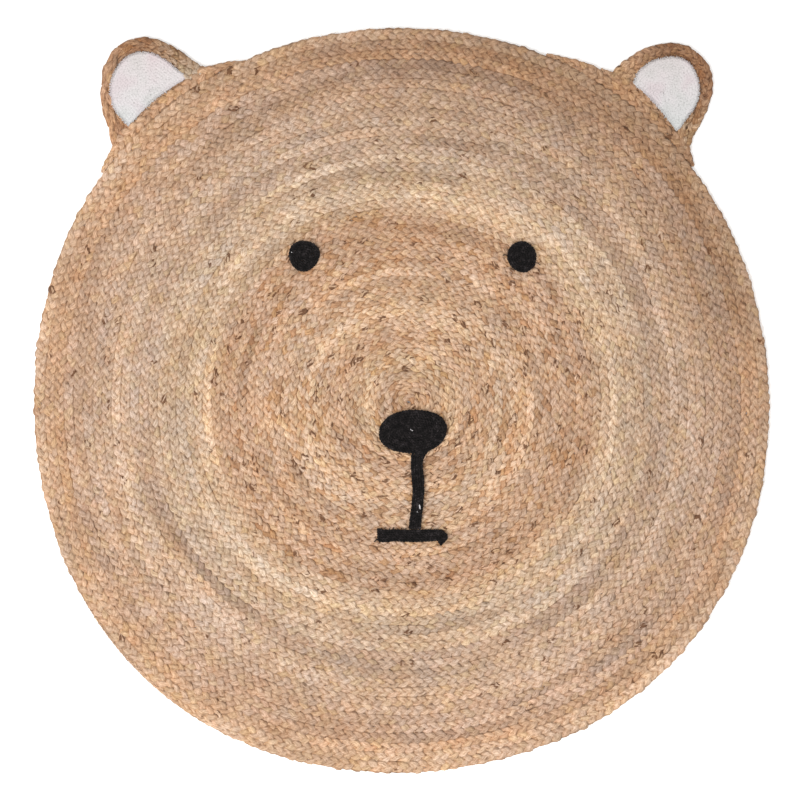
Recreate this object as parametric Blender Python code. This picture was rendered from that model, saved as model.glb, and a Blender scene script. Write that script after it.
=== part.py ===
"""A round children's rug in the shape of a bear's head, lying flat on the plane z = 0, in metres.

The head is one flat braid coiled clockwise from the middle and sewn edge to edge. Each ear is a white pad
inside a braid, sewn to the rim. The face is black yarn, coiled or laid in rows, on top of the braid.
+Y points to the ears and +X to the right of the face.
"""

import math
from collections import namedtuple

import bmesh
import bpy
import numpy as np

MM = 0.001
GAP = 0.3 * MM  # between two pieces that touch

# The head
RUG_PLACE = (-1.57 * MM, -0.54 * MM, 0.0)  # puts the middle of the whole outline over the origin
HEAD_DIAMETER = 802 * MM
HEAD_CENTRE = (0.7 * MM, -0.5 * MM)
COIL_CENTRE = (7.5 * MM, -2.2 * MM)  # where the coil starts, a little off the head's middle
COIL_TURNS = 44
INNER_TURNS = 22  # these are drawn with fewer segments, being shorter
INNER_SEGMENTS = 32
OUTER_SEGMENTS = 64
CENTRE_PITCH = 7.75 * MM  # from row to row at the middle; it grows evenly to the rim
COIL_END_ANGLE = math.radians(205)  # where the braid's tail ends on the rim
TAIL_TURNS = 0.16  # the stretch over which the last row narrows to nothing
CREST_HEIGHT = 8.0 * MM  # the top of a row
GROOVE_HEIGHT = 6.3 * MM  # the bottom of the groove between two rows

# How the rim leaves a circle: waves round the rim, with the size of each one's cosine and sine part
Wave = namedtuple("Wave", "count cosine sine")
RIM_WAVES = (
    Wave(2, -2.4 * MM, -0.1 * MM),
    Wave(3, 0.8 * MM, -1.1 * MM),
    Wave(4, -3.4 * MM, -0.7 * MM),
)
# The rounded side of the last row, from its upper shoulder to the floor
Rim = namedtuple("Rim", "inset height")
RIM_SIDE = (
    Rim(1.6 * MM, GROOVE_HEIGHT),
    Rim(0.0, 3.8 * MM),
    Rim(0.7 * MM, 1.2 * MM),
    Rim(2.6 * MM, 0.0),
)

# The ears. Each row is a section of the braid round the pad, by its angle about the ear's centre and the
# distances of the braid's outer and inner edge, in degrees and millimetres.
EarSection = namedtuple("EarSection", "angle outer inner")
# The row of braid between pad and rim, by its angle about the head's centre and its width there.
BaseSection = namedtuple("BaseSection", "angle width")
EAR_SEGMENTS = 30
BASE_SEGMENTS = 14
PAD_SEGMENTS = 48
PAD_HEIGHT = 6.0 * MM
PAD_RINGS = 4  # raised rings that follow the pad's edge
PAD_RING_PITCH = 6.0 * MM
PAD_GROOVE = 0.5 * MM
LEFT_EAR_CENTRE = (-268.8 * MM, 334.3 * MM)
LEFT_EAR = (
    EarSection(5, 59.1, 40.9),
    EarSection(22, 61.3, 41.5),
    EarSection(35, 56.2, 37.8),
    EarSection(50, 54.0, 36.9),
    EarSection(70, 54.5, 37.8),
    EarSection(90, 56.2, 40.9),
    EarSection(110, 58.6, 43.5),
    EarSection(130, 58.8, 44.1),
    EarSection(150, 55.9, 43.5),
    EarSection(170, 53.0, 44.0),
    EarSection(190, 54.2, 44.4),
    EarSection(207, 56.5, 44.5),
    EarSection(223, 61.6, 44.3),
    EarSection(237, 73.6, 45.6),
    EarSection(250, 79.6, 46.2),
)
LEFT_BASE = (
    BaseSection(114.5, -1.5),
    BaseSection(119.0, 6.5),
    BaseSection(122.0, 11.4),
    BaseSection(128.0, 12.6),
    BaseSection(134.5, 11.6),
    BaseSection(138.8, 6.2),
    BaseSection(144.0, -1.5),
)
RIGHT_EAR_CENTRE = (282.7 * MM, 332.2 * MM)
RIGHT_EAR = (
    EarSection(-78, 73.1, 45.2),
    EarSection(-66, 67.3, 44.4),
    EarSection(-57, 58.6, 40.9),
    EarSection(-45, 55.1, 38.7),
    EarSection(-28, 52.1, 38.6),
    EarSection(-10, 52.6, 39.5),
    EarSection(10, 54.7, 40.2),
    EarSection(30, 57.0, 41.4),
    EarSection(50, 57.0, 42.7),
    EarSection(70, 55.5, 40.6),
    EarSection(88, 52.7, 37.6),
    EarSection(105, 51.6, 36.1),
    EarSection(127, 51.2, 35.2),
    EarSection(146, 53.8, 35.2),
    EarSection(162, 59.7, 34.1),
    EarSection(180, 62.4, 35.5),
)
RIGHT_BASE = (
    BaseSection(38.0, -1.5),
    BaseSection(41.2, 7.0),
    BaseSection(44.5, 12.0),
    BaseSection(49.0, 15.8),
    BaseSection(54.0, 18.6),
    BaseSection(59.0, 11.8),
    BaseSection(63.0, 5.8),
    BaseSection(69.0, -1.5),
)
# A braid's cross-section: two columns of strands with a shallow valley between them. "across" runs from one
# edge of the braid, 0, to the other, 1.
Profile = namedtuple("Profile", "across height")
BRAID_PROFILE = (
    Profile(0.08, 0.0),
    Profile(0.00, 3.6 * MM),
    Profile(0.10, 6.6 * MM),
    Profile(0.28, 8.0 * MM),
    Profile(0.50, 7.3 * MM),
    Profile(0.72, 8.0 * MM),
    Profile(0.90, 6.6 * MM),
    Profile(1.00, 3.6 * MM),
    Profile(0.92, 0.0),
)

# The face
FACE_BASE = CREST_HEIGHT + GAP
YARN_CREST = 2.6 * MM  # above the face's underside
YARN_GROOVE = 1.8 * MM
YARN_EDGE = 0.9 * MM
Disc = namedtuple("Disc", "x y half_width half_height tilt rows segments")
EYES = {
    "left_eye": Disc(-102.8 * MM, 155.9 * MM, 16.5 * MM, 16.3 * MM, 0.0, 4, 24),
    "right_eye": Disc(131.1 * MM, 154.8 * MM, 15.9 * MM, 16.7 * MM, 0.0, 4, 24),
}
NOSE = Disc(14.0 * MM, -32.7 * MM, 36.4 * MM, 23.0 * MM, math.radians(4), 6, 36)
BAR_ROWS = 4
# The two bars, by the ends of each section across their rows, in millimetres from the rug's middle
BarSection = namedtuple("BarSection", "first_x first_y second_x second_y")
NOSE_BAR = (
    BarSection(12.0, -56.5, 31.7, -54.0),
    BarSection(11.9, -60.4, 26.0, -60.6),
    BarSection(11.8, -67.4, 24.3, -68.8),
    BarSection(12.7, -84.6, 25.7, -82.8),
    BarSection(13.8, -95.2, 25.8, -95.2),
    BarSection(13.0, -106.0, 25.2, -106.0),
    BarSection(11.6, -119.9, 24.0, -118.8),
    BarSection(9.9, -129.5, 22.8, -128.5),
    BarSection(9.2, -137.5, 22.1, -137.5),
)
MOUTH_BAR = (
    BarSection(-24.3, -149.4, -24.1, -135.9),
    BarSection(-19.9, -151.6, -18.3, -137.6),
    BarSection(-5.4, -150.5, -5.4, -138.1),
    BarSection(16.1, -151.4, 16.1, -138.1),
    BarSection(33.3, -150.5, 34.4, -137.9),
    BarSection(40.3, -150.3, 44.6, -138.7),
    BarSection(41.7, -152.7, 50.1, -142.4),
    BarSection(43.9, -155.3, 50.0, -148.9),
)

# Finishes, as linear colours
HEAD_JUTE = (0.48, 0.30, 0.16, 1.0)
EAR_JUTE = (0.30, 0.17, 0.09, 1.0)
WHITE_COTTON = (0.78, 0.74, 0.75, 1.0)
BLACK_YARN = (0.012, 0.012, 0.016, 1.0)


def finish(name, colour, roughness):
    """A cloth finish: no metal, and a colour of its own."""
    material = bpy.data.materials.new(name)
    material.use_nodes = True
    shader = material.node_tree.nodes["Principled BSDF"]
    shader.inputs["Base Color"].default_value = colour
    shader.inputs["Roughness"].default_value = roughness
    shader.inputs["Metallic"].default_value = 0.0
    return material


def add_object(name, mesh, collection, colour=None, roughness=0.9):
    """An object in the collection. One without a colour is a helper that is never rendered."""
    made = bpy.data.objects.new(name, mesh)
    collection.objects.link(made)
    made.parent = rug
    if colour is None:
        made.hide_render = True
        made.display_type = "WIRE"
        return made
    mesh.materials.append(finish(name + "_finish", colour, roughness))
    mesh.shade_smooth()
    mesh.set_sharp_from_angle(angle=math.radians(50))
    return made


def closed_mesh(name, points, faces):
    """A mesh with its coincident points merged and all its faces turned outwards."""
    mesh = bpy.data.meshes.new(name)
    mesh.from_pydata([tuple(point) for point in points], [], faces)
    work = bmesh.new()
    work.from_mesh(mesh)
    bmesh.ops.remove_doubles(work, verts=work.verts, dist=0.001 * MM)
    bmesh.ops.recalc_face_normals(work, faces=work.faces)
    work.to_mesh(mesh)
    work.free()
    return mesh


def loft(name, sections):
    """A solid through closed sections of equal length, with a flat cap on its first and last one."""
    count = len(sections[0])
    points = np.concatenate(sections)
    faces = []
    for row in range(len(sections) - 1):
        for k in range(count):
            here = row * count + k
            beside = row * count + (k + 1) % count
            faces.append((here, beside, beside + count, here + count))
    faces.append(tuple(range(count)))
    faces.append(tuple(range(len(points) - count, len(points))))
    return closed_mesh(name, points, faces)


def smooth_rows(rows, count):
    """A table's columns at evenly spaced steps along a smooth curve through its rows."""
    table = np.array(rows, float)
    table = np.vstack((2 * table[0] - table[1], table, 2 * table[-1] - table[-2]))
    place = np.linspace(0, len(rows) - 1, count)
    first = np.minimum(place.astype(int), len(rows) - 2)
    t = (place - first)[:, None]
    a, b, c, d = (table[first + k] for k in range(4))
    bend = 2 * a - 5 * b + 4 * c - d
    twist = 3 * b - a - 3 * c + d
    return (b + 0.5 * t * ((c - a) + t * (bend + t * twist))).T


def at_height(xy, height):
    """Points of the plan at a height."""
    return np.column_stack((xy, np.broadcast_to(height, len(xy))))


# ---- the head ----


def rim_radius(angle):
    """Distance of the rim from the head's centre: a circle and its few waves."""
    waves = sum(w.cosine * np.cos(w.count * angle) + w.sine * np.sin(w.count * angle) for w in RIM_WAVES)
    return HEAD_DIAMETER / 2 + waves


def around_head(angle, radius):
    """Points at these angles about the head's centre."""
    return np.column_stack((HEAD_CENTRE[0] + radius * np.cos(angle), HEAD_CENTRE[1] + radius * np.sin(angle)))


def coil_reach(turn):
    """Distance from the coil's centre after this many turns, as the pitch grows evenly."""
    growth = 2 * (HEAD_DIAMETER / 2 - CENTRE_PITCH * COIL_TURNS) / COIL_TURNS**2
    return CENTRE_PITCH * turn + growth * turn**2 / 2


def groove_share(turn):
    """How far out the groove lies at this turn, from 0 at the middle to 1 at the rim.

    The rows fill the rim at every angle. Over the tail the last row narrows to nothing, and the others
    spread into its place.
    """
    part = turn % 1.0
    narrowing = np.clip((part - (1 - TAIL_TURNS)) / TAIL_TURNS, 0.0, 1.0)
    full = coil_reach(COIL_TURNS - 1 + np.minimum(part, 1 - TAIL_TURNS))
    reach = full + (coil_reach(COIL_TURNS - 1) - full) * narrowing
    return np.minimum(coil_reach(turn) / reach, 1.0)


def coil_points(share, angle, height):
    """Points of the head's top: round the coil's centre in the middle, on the rim's outline at share 1."""
    outline = rim_radius(angle) - RIM_SIDE[0].inset
    radius = share * (HEAD_DIAMETER / 2 + share**2 * (outline - HEAD_DIAMETER / 2))
    centre = np.outer(1 - share**2, COIL_CENTRE) + np.outer(share**2, HEAD_CENTRE)
    xy = centre + np.column_stack((radius * np.cos(angle), radius * np.sin(angle)))
    return at_height(xy, height)


def coiled_head():
    """The head: a spiral of crests and grooves on top, the last row's rounded side, and a flat underside."""
    inner_turn = np.arange(INNER_SEGMENTS, INNER_TURNS * INNER_SEGMENTS) / INNER_SEGMENTS
    outer_turn = np.arange(INNER_TURNS * OUTER_SEGMENTS, COIL_TURNS * OUTER_SEGMENTS + 1) / OUTER_SEGMENTS
    turn = np.concatenate((inner_turn, outer_turn))
    angle = COIL_END_ANGLE - 2 * math.pi * turn
    outer = groove_share(turn)
    inner = groove_share(turn - 1)
    full_row = CENTRE_PITCH / (HEAD_DIAMETER / 2)
    rise = np.clip((outer - inner) / full_row, 0.0, 1.0)
    grooves = coil_points(outer, angle, GROOVE_HEIGHT)
    crests = coil_points((outer + inner) / 2, angle, GROOVE_HEIGHT + (CREST_HEIGHT - GROOVE_HEIGHT) * rise)

    # The middle point stands a little to the side, so that the faces of the first turn's step keep an area
    count = len(turn)
    middle = 2 * count
    middle_point = coil_points(inner[:1] + full_row / 3, angle[:1] - math.pi / 2, CREST_HEIGHT)
    points = [grooves, crests, middle_point]
    one_turn_on = np.searchsorted(turn, turn + 1 - 1e-6)
    faces = []
    for k in range(count - 1):
        faces.append((k, k + 1, count + k + 1, count + k))
        if one_turn_on[k + 1] < count:
            beyond = range(count + one_turn_on[k], count + one_turn_on[k + 1] + 1)
            faces.append((k + 1, k, *beyond))
    for k in range(INNER_SEGMENTS):
        faces.append((middle, count + k, count + k + 1))
    faces.append((middle, count + INNER_SEGMENTS, 0))
    faces.append((middle, 0, count))

    rim_start = count - OUTER_SEGMENTS - 1
    rim_angle = angle[rim_start:-1]
    start = middle + 1
    for ring in RIM_SIDE[1:]:
        points.append(at_height(around_head(rim_angle, rim_radius(rim_angle) - ring.inset), ring.height))
    upper = [rim_start + k for k in range(OUTER_SEGMENTS)]
    for ring in range(len(RIM_SIDE) - 1):
        lower = [start + ring * OUTER_SEGMENTS + k for k in range(OUTER_SEGMENTS)]
        for k in range(OUTER_SEGMENTS):
            after = (k + 1) % OUTER_SEGMENTS
            faces.append((upper[k], upper[after], lower[after], lower[k]))
        upper = lower
    faces.append(tuple(upper))
    return closed_mesh("head_coil", np.concatenate(points), faces)


# ---- the ears ----


def disc_cutter(name, extra):
    """A disc that reaches this far past the rim at each angle, and well above and below the rug."""
    angle = np.linspace(0, 2 * math.pi, 240, endpoint=False)
    xy = around_head(angle, rim_radius(angle) + extra(angle))
    return loft(name, [at_height(xy, -CREST_HEIGHT), at_height(xy, 2 * CREST_HEIGHT)])


def base_width(base):
    """A function that gives the width of the row between pad and rim at an angle, or none away from it."""
    angle, width = smooth_rows(base, 4 * BASE_SEGMENTS)

    def width_at(where):
        return np.interp(where, np.radians(angle), width * MM, left=0.0, right=0.0)

    return width_at


def base_row(name, base):
    """The row of braid along the rim under an ear, from tip to tip."""
    angle, width = smooth_rows(base, BASE_SEGMENTS)
    sections = []
    for here, wide in zip(np.radians(angle), width * MM):
        low = rim_radius(here) - 2 * MM
        spread = max(rim_radius(here) + wide - low, 0.2 * MM)
        radius = np.array([low + p.across * spread for p in BRAID_PROFILE])
        sections.append(at_height(around_head(here, radius), [p.height for p in BRAID_PROFILE]))
    return loft(name, sections)


def ear_braid(name, centre, ear):
    """The braid round an ear's free side."""
    angle, outer, inner = smooth_rows(ear, EAR_SEGMENTS)
    sections = []
    for here, far, near in zip(np.radians(angle), outer * MM, inner * MM):
        radius = np.array([near + p.across * (far - near) for p in BRAID_PROFILE])
        xy = np.column_stack((centre[0] + radius * math.cos(here), centre[1] + radius * math.sin(here)))
        sections.append(at_height(xy, [p.height for p in BRAID_PROFILE]))
    return loft(name, sections)


def ear_pad(name, centre, ear):
    """A pad that fills the braid's inner side, its top sewn in rows that follow its own edge."""
    angle, _, inner = smooth_rows(ear, EAR_SEGMENTS)
    where = np.linspace(angle[0], angle[0] + 360, PAD_SEGMENTS, endpoint=False)
    edge = np.interp(where, np.append(angle, angle[0] + 360), np.append(inner, inner[0])) * MM - GAP
    ring_angle = np.radians(where)
    rings = [(0.0, 0.0), (0.0, PAD_HEIGHT - 2 * PAD_GROOVE)]
    for ring in range(PAD_RINGS):
        rings.append(((ring + 0.5) * PAD_RING_PITCH, PAD_HEIGHT))
        rings.append(((ring + 1.0) * PAD_RING_PITCH, PAD_HEIGHT - PAD_GROOVE))
    sections = []
    direction = np.column_stack((np.cos(ring_angle), np.sin(ring_angle)))
    for inset, height in rings:
        sections.append(at_height(np.array(centre) + (edge - inset)[:, None] * direction, height))
    return loft(name, sections)


def cut(made, cutter, operation="DIFFERENCE"):
    """A Boolean modifier on an object."""
    change = made.modifiers.new(operation.lower(), "BOOLEAN")
    change.operation = operation
    change.object = cutter


def add_ear(side, centre, ear, base):
    """One ear: its braid, joined with the row along the rim, and its pad."""
    width_at = base_width(base)
    row = add_object(side + "_base_row", base_row(side + "_base_row", base), cutters)
    room = disc_cutter(side + "_pad_room", lambda angle: np.maximum(width_at(angle), 0.0) + GAP)
    pad_room = add_object(side + "_pad_room", room, cutters)
    braid_name = side + "_ear_braid"
    braid = add_object(braid_name, ear_braid(braid_name, centre, ear), rug_parts, EAR_JUTE)
    cut(braid, row, "UNION")
    cut(braid, head_room)
    pad_name = side + "_ear_pad"
    pad = add_object(pad_name, ear_pad(pad_name, centre, ear), rug_parts, WHITE_COTTON)
    cut(pad, pad_room)


# ---- the face ----


def coiled_disc(name, disc):
    """Yarn coiled to an oval. Each ring lies one yarn inside the last, with a groove between two rings."""
    turn = np.linspace(0, 2 * math.pi, disc.segments, endpoint=False)
    yarn = disc.half_height / disc.rows
    rings = [(0.15 * yarn, 0.0), (0.0, YARN_EDGE), (0.15 * yarn, YARN_GROOVE)]
    for row in range(disc.rows):
        rings.append(((row + 0.5) * yarn, YARN_CREST))
        if row < disc.rows - 1:
            rings.append(((row + 1.0) * yarn, YARN_GROOVE))
    sections = []
    for inset, height in rings:
        x = (disc.half_width - inset) * np.cos(turn)
        y = (disc.half_height - inset) * np.sin(turn)
        sections.append(at_height(np.column_stack((x, y)), height))
    return loft(name, sections)


def yarn_bar(name, bar):
    """Rows of yarn side by side along a bar."""
    first_x, first_y, second_x, second_y = smooth_rows(bar, 2 * len(bar) - 1) * MM
    profile = [(0.03, 0.0), (0.0, YARN_EDGE), (0.03, YARN_GROOVE)]
    for row in range(BAR_ROWS):
        profile.append(((row + 0.5) / BAR_ROWS, YARN_CREST))
        if row < BAR_ROWS - 1:
            profile.append(((row + 1.0) / BAR_ROWS, YARN_GROOVE))
    profile += [(0.97, YARN_GROOVE), (1.0, YARN_EDGE), (0.97, 0.0)]
    across, height = np.array(profile).T
    sections = []
    for x0, y0, x1, y1 in zip(first_x, first_y, second_x, second_y):
        xy = np.column_stack((x0 + across * (x1 - x0), y0 + across * (y1 - y0)))
        sections.append(at_height(xy, height))
    return loft(name, sections)


def add_face():
    """The eyes and the nose, placed by their centres, and the two bars, all on the braid's crests."""
    for name, disc in (*EYES.items(), ("nose", NOSE)):
        made = add_object(name, coiled_disc(name, disc), rug_parts, BLACK_YARN)
        made.location = (disc.x, disc.y, FACE_BASE)
        made.rotation_euler = (0.0, 0.0, disc.tilt)
    for name, bar in (("nose_bar", NOSE_BAR), ("mouth_bar", MOUTH_BAR)):
        made = add_object(name, yarn_bar(name, bar), rug_parts, BLACK_YARN)
        made.location = (0.0, 0.0, FACE_BASE)


for old in list(bpy.data.objects):
    bpy.data.objects.remove(old, do_unlink=True)
rug_parts = bpy.data.collections.new("bear_shaped_kids_rug")
cutters = bpy.data.collections.new("cutters")
bpy.context.scene.collection.children.link(rug_parts)
bpy.context.scene.collection.children.link(cutters)
rug = bpy.data.objects.new("rug", None)
rug.location = RUG_PLACE
rug_parts.objects.link(rug)

add_object("head_coil", coiled_head(), rug_parts, HEAD_JUTE)
head_room = add_object("head_room", disc_cutter("head_room", lambda angle: GAP), cutters)
add_ear("left", LEFT_EAR_CENTRE, LEFT_EAR, LEFT_BASE)
add_ear("right", RIGHT_EAR_CENTRE, RIGHT_EAR, RIGHT_BASE)
add_face()
bpy.context.view_layer.update()
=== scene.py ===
"""A round children's rug in the shape of a bear's head, of coiled jute braid with a black yarn face.

The rug lies on the plane z = 0, in metres, with +Y to the ears and +X to the right of the face.
"""

import math
from collections import namedtuple

import bpy
import numpy as np
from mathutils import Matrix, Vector


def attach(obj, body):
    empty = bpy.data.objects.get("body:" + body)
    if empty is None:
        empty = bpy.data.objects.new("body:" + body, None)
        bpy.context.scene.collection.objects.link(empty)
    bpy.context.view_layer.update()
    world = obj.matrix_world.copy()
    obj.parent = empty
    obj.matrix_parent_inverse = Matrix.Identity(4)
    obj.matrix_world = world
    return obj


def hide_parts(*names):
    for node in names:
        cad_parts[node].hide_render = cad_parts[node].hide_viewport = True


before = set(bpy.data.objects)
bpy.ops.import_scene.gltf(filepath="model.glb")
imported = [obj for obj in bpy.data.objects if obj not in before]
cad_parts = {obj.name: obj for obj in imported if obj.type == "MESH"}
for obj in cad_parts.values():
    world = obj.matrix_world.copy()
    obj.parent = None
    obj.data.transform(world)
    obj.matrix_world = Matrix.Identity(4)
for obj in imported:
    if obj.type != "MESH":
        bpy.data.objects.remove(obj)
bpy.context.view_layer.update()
MM = 0.001

# ---- The head ----
# One long flat braid of three loose jute strands, about 10 mm wide and 8 mm thick, is coiled clockwise from
# the middle for forty-four turns. Each row is sewn to the one inside it with thread that sinks out of sight.

RUG_SHIFT = np.array((-1.57, -0.54)) * MM  # puts the middle of the whole outline over the origin
HEAD_RADIUS = 401 * MM
HEAD_CENTRE = np.array((0.7, -0.5)) * MM
COIL_CENTRE = np.array((7.5, -2.2)) * MM  # where the coil starts, a little off the head's middle
COIL_TURNS = 44
CENTRE_PITCH = 7.75 * MM  # from row to row at the middle; it grows evenly to the rim
COIL_END = math.radians(205)  # where the braid's tail ends on the rim
TAIL_TURNS = 0.16  # the stretch over which the last row narrows to nothing
RIM_INSET = 1.6 * MM  # the last groove lies this far inside the outline
LAST_ROW_REACH = 0.6 * MM  # from the last groove to the last row's edge; its lobes stand out further
# How the rim leaves a circle: waves round the rim, with the size of each one's cosine and sine part
Wave = namedtuple("Wave", "count cosine sine")
RIM_WAVES = (
    Wave(2, -2.4 * MM, -0.1 * MM),
    Wave(3, 0.8 * MM, -1.1 * MM),
    Wave(4, -3.4 * MM, -0.7 * MM),
)


def rim_radius(angle):
    """Distance of the outline from the head's centre: a circle and its few waves."""
    waves = sum(w.cosine * np.cos(w.count * angle) + w.sine * np.sin(w.count * angle) for w in RIM_WAVES)
    return HEAD_RADIUS + waves


def coil_reach(turn):
    """Distance from the coil's centre after this many turns.

    It is the first pitch times the turns, and half of the pitch's growth in a turn times their square.
    """
    growth = 2 * (HEAD_RADIUS - CENTRE_PITCH * COIL_TURNS) / COIL_TURNS**2
    return CENTRE_PITCH * turn + growth * turn**2 / 2


def groove_share(turn):
    """How far out the groove lies at this turn, from 0 at the middle to 1 at the rim.

    It is the reach over the last row's reach at the same angle. Over the tail that row narrows to nothing.
    """
    part = turn % 1.0
    narrowing = np.clip((part - (1 - TAIL_TURNS)) / TAIL_TURNS, 0.0, 1.0)
    full = coil_reach(COIL_TURNS - 1 + np.minimum(part, 1 - TAIL_TURNS))
    reach = full + (coil_reach(COIL_TURNS - 1) - full) * narrowing
    return np.minimum(coil_reach(turn) / reach, 1.0)


def spokes(angle):
    """Steps of length 1 in the plan at these angles: (cos, sin)."""
    return np.column_stack((np.cos(angle), np.sin(angle)))


def coil_place(share, angle):
    """A place on the head: on circles round the coil's centre in the middle, and on the outline at share 1.

    The circles' centre and radius both go over to the outline's with the square of the share.
    """
    radius = share * (HEAD_RADIUS + share**2 * (rim_radius(angle) - RIM_INSET - HEAD_RADIUS))
    centre = np.outer(1 - share**2, COIL_CENTRE) + np.outer(share**2, HEAD_CENTRE) + RUG_SHIFT
    return centre + radius[:, None] * spokes(angle)


def unit(vectors):
    """Vectors of length 1."""
    return vectors / np.linalg.norm(vectors, axis=-1, keepdims=True)


def at_height(xy, height):
    """Points of the plan at a height."""
    return np.column_stack((xy, np.broadcast_to(height, len(xy))))


# A row of braid on the rug: its middle line, and the steps from there to one of its edges
Route = namedtuple("Route", "middle edge")
BRAID_MIDDLE = 4.5 * MM  # height of a braid's middle plane


def coil_route(turn):
    """The coil's middle line: halfway between the groove at each turn and the groove one turn before."""
    angle = COIL_END - 2 * math.pi * turn
    outer = coil_place(groove_share(turn), angle)
    inner = coil_place(groove_share(np.maximum(turn - 1, 0.0)), angle)
    last_row = np.clip((turn - (COIL_TURNS - 1)) / TAIL_TURNS, 0.0, 1.0)[:, None]
    outer += last_row * LAST_ROW_REACH * unit(outer - inner)
    return Route(at_height((outer + inner) / 2, BRAID_MIDDLE), (outer - inner) / 2)


# How far something made by hand strays: by about so much, up and down at every so much along it
Stray = namedtuple("Stray", "by every")


def wander(place, stray, seed):
    """A smooth random curve: random heights of about the stray, at even spacing, joined by cosine eases."""
    step = place / stray.every
    first = np.floor(step).astype(int)
    heights = stray.by * np.clip(np.random.default_rng(seed).normal(size=first.max() + 2), -2, 2)
    ease = (1 - np.cos(np.pi * (step - first))) / 2
    return heights[first] + (heights[first + 1] - heights[first]) * ease


def distance_along(points):
    """Distance along a line of points, from its first point."""
    return np.concatenate(([0.0], np.cumsum(np.linalg.norm(np.diff(points, axis=0), axis=1))))


def read_line(place, along, values):
    """The columns of values at these places along a line."""
    return np.column_stack([np.interp(place, along, column) for column in values.T])


# A strand, yarn or fibre as a closed tube: its points, the distance along it and round it, and its own values
Tube = namedtuple("Tube", "points along round values")
UPRIGHT = np.array((0.0, 0.0, 1.0))


def tube(middle, half_wide, half_high, sides, **values):
    """An oval carried along a path: middle + half_wide cos(a) beside + half_high sin(a) above, a going round.

    "above" is square to the path and as near upright as it can be, and "beside" is square to both.
    """
    direction = unit(np.gradient(middle, axis=0))
    above = unit(UPRIGHT - direction * (direction @ UPRIGHT)[:, None])
    beside = np.cross(above, direction)
    a = math.pi / 2 + 2 * math.pi * np.arange(sides) / sides
    wide = np.broadcast_to(half_wide, len(middle))[:, None, None] * np.cos(a)[:, None]
    high = np.broadcast_to(half_high, len(middle))[:, None, None] * np.sin(a)[:, None]
    points = middle[:, None] + wide * beside[:, None] + high * above[:, None]
    girth = math.pi * (np.mean(half_wide) + np.mean(half_high))
    return Tube(points, distance_along(middle), girth, values)


V_PITCH = 10.3 * MM  # from one V to the next along a braid; a strand comes back to its place after three
STRAND_RISE = 1.1 * MM  # how far a strand's middle goes above and below the braid's middle plane
STRAND_HALF_HIGH = 2.05 * MM
FULL_ROW_HALF = 4.9 * MM  # a row this wide from middle to edge has strands of full thickness
FULLNESS = (0.3, 1.15)  # the least and most full that a row's width makes its strands, before the power below
FULLNESS_POWER = 0.6
LOWEST_MIDDLE = 0.85  # the middle plane of a slim row comes down to this share of its height
SLIM_ROW_HALF = 0.7 * FULL_ROW_HALF  # in a row slimmer than this the Vs are shorter in step
SHORTEST_V = 0.4  # of a V's full length
SWAY = 0.73  # how far a strand's middle goes to either edge of the row
TURN_WIDTH = 0.34  # half-width of a strand where it turns at the edge, as a share of the row's
LOBE_WIDTH = 0.80  # the same where it lies on top
LOBE_BLUNTNESS = 0.7  # the lower, the longer a lobe keeps its width towards its ends
# Where a strand has its sections in each half of its round, in degrees: close on top, wide apart below
LOBE_SECTIONS = np.radians((-7, 19, 45, 71, 97, 137))
STRAND_SIDES = 6
FLOOR_GAP = 0.1 * MM
# How far the braid strays along its length, and each lobe from the next
TURN_STRAY = Stray(0.3, 45 * MM)
SWAY_STRAY = Stray(0.05, 30 * MM)
LIFT_STRAY = Stray(0.14 * MM, 25 * MM)
LOBE_SWAY = 0.10
LOBE_LIFT = 0.28 * MM
LOBE_WIDENING = 0.18
LOBE_THICKENING = 0.06


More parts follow.
